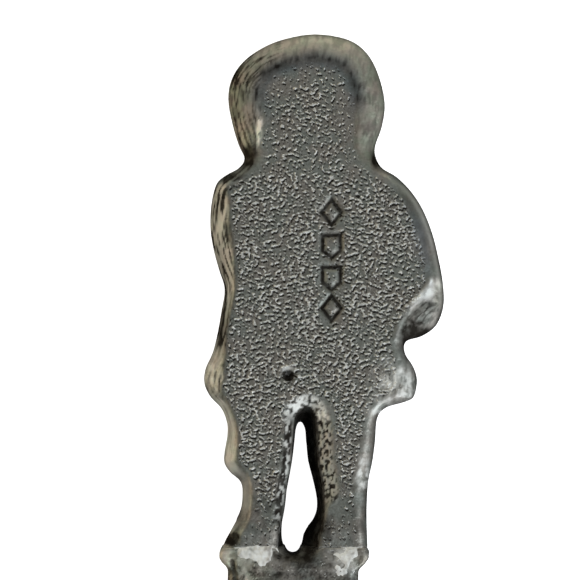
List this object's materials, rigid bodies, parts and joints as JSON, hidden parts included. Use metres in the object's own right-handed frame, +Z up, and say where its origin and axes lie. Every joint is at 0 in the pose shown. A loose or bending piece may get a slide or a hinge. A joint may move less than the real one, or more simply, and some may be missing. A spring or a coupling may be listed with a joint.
{
  "type": "souvenir spoon",
  "caption": "Cast-metal collector's spoon: hooded parka figure finial on a ledged plinth, tapering stem and oval bowl, joined by solder.",
  "frame": {"origin": "mid-length of the spoon, centred on the bowl's width, in the plane of the bowl's rim, on which the spoon lies face down", "axes": "+Y along the spoon towards the crown of the finial, +Z up out of the bowl's back and the figure's flat back, +X towards the figure's bent right arm"},
  "size_m": [0.0226, 0.114, 0.0075],
  "materials": {
    "antiqued_pewter": "cast, antiqued, rubbed bright on the edges",
    "pewter": "satin, lightly worn",
    "solder": "bright, dimpled"
  },
  "bodies": {
    "root": {"figure": "antiqued_pewter", "plinth": "antiqued_pewter", "stem": "pewter", "bowl": "pewter", "figure_solder": "solder", "stem_solder": "solder", "bowl_solder": "solder"}
  },
  "joints": []
}
